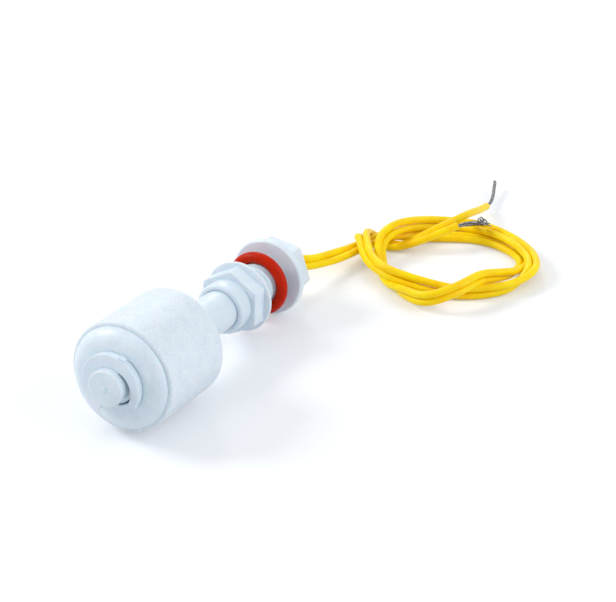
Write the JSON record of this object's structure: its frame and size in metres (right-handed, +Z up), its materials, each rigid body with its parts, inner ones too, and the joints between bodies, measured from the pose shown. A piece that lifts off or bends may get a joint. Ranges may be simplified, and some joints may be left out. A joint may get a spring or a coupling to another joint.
{
  "type": "float level switch",
  "caption": "Small vertical float level switch: hollow float on a threaded stem with lock nut, red sealing ring, hexagonal head and two yellow wires.",
  "frame": {"origin": "on the bench, below the middle of the switch without its wires", "axes": "+X along the stem from the float to the head, tipped down by the resting tilt; +Z up"},
  "size_m": [0.1414, 0.059, 0.0248],
  "materials": {
    "moulded_plastic": "satin, faintly blue white polypropylene",
    "clip_plastic": "satin",
    "nut_plastic": "satin",
    "float_plastic": "fine grained polypropylene",
    "ferrite": "matte sintered ferrite",
    "red_rubber": "smooth silicone",
    "resin": "cast epoxy",
    "glass": "clear",
    "reed_metal": "bright",
    "shrink_sleeve": "satin",
    "solder": "dull bright",
    "yellow_wire": "soft PVC",
    "tinned_copper": "tinned strands"
  },
  "bodies": {
    "stem": {"stem_body": "moulded_plastic", "retaining_clip": "clip_plastic", "sealing_ring": "red_rubber", "potting_plug": "resin", "reed_glass_tube": "glass", "reed_blade_front": "reed_metal", "reed_blade_rear": "reed_metal", "reed_sleeve": "shrink_sleeve", "solder_joint_front": "solder", "solder_joint_rear": "solder", "return_wire_inner": "yellow_wire", "short_wire_inner": "yellow_wire", "wire_upper_lead": "yellow_wire", "wire_lower_lead": "yellow_wire", "wire_coil": "yellow_wire", "wire_upper_end": "yellow_wire", "wire_lower_end": "yellow_wire", "strands_upper": "tinned_copper", "strands_lower": "tinned_copper"},
    "float": {"float_shell": "float_plastic", "float_cap": "float_plastic", "float_magnet": "ferrite"},
    "nut": {"lock_nut": "nut_plastic"}
  },
  "joints": [
    {"name": "float_slide", "type": "slide", "parent": "stem", "child": "float", "axis": [0.9966, 0, -0.0828], "range_m": [0, 0.0166]},
    {"name": "nut_run", "type": "slide", "parent": "stem", "child": "nut", "axis": [0.9966, 0, -0.0828], "range_m": [0, 0.006]}
  ]
}
